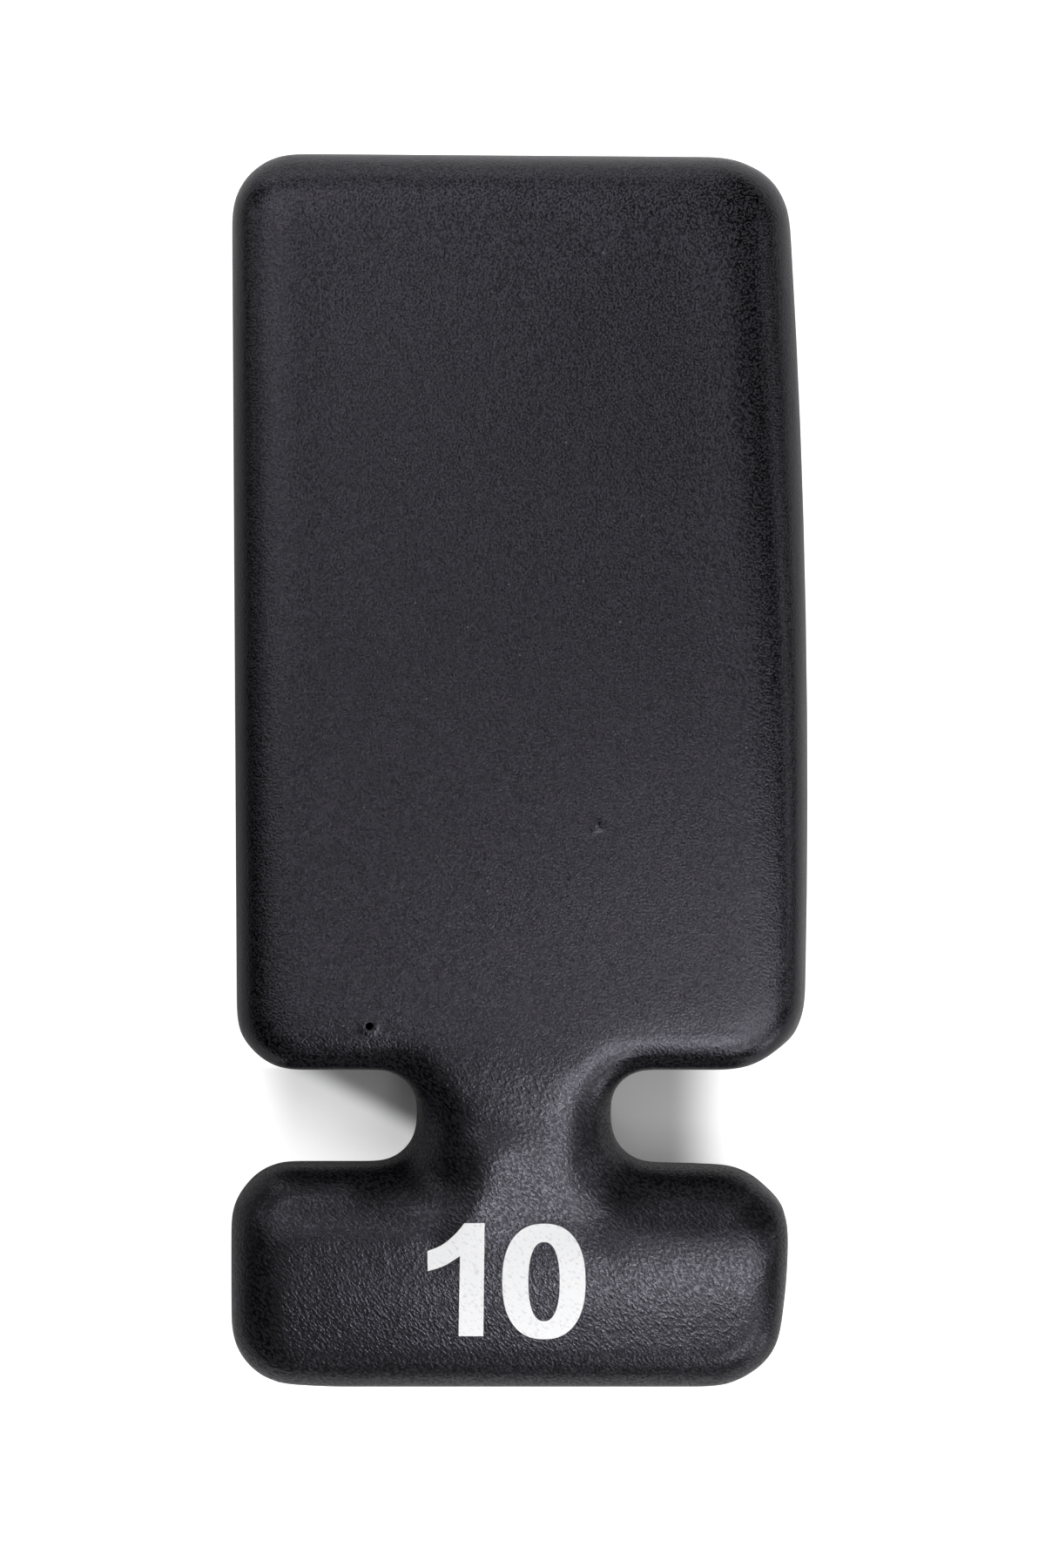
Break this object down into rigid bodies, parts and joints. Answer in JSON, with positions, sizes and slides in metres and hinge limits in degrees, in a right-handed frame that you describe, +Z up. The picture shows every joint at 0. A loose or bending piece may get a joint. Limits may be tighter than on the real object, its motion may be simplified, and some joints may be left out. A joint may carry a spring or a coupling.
{
  "type": "diving weight",
  "caption": "Flat T-shaped lead diving weight in black dipped vinyl: a slab body, a short neck and a cross-bar handle with finger gaps at both sides.",
  "frame": {"origin": "on the surface that the weight lies on, under the middle of its plan", "axes": "+Y from the cross-bar handle to the far end of the body, +X to the right with the numbered face up, +Z up out of the numbered face"},
  "size_m": [0.0958, 0.2054, 0.0277],
  "materials": {
    "vinyl": "satin",
    "lead": "matte"
  },
  "bodies": {
    "root": {"vinyl_coating": "vinyl", "lead_casting": "lead"}
  },
  "joints": []
}
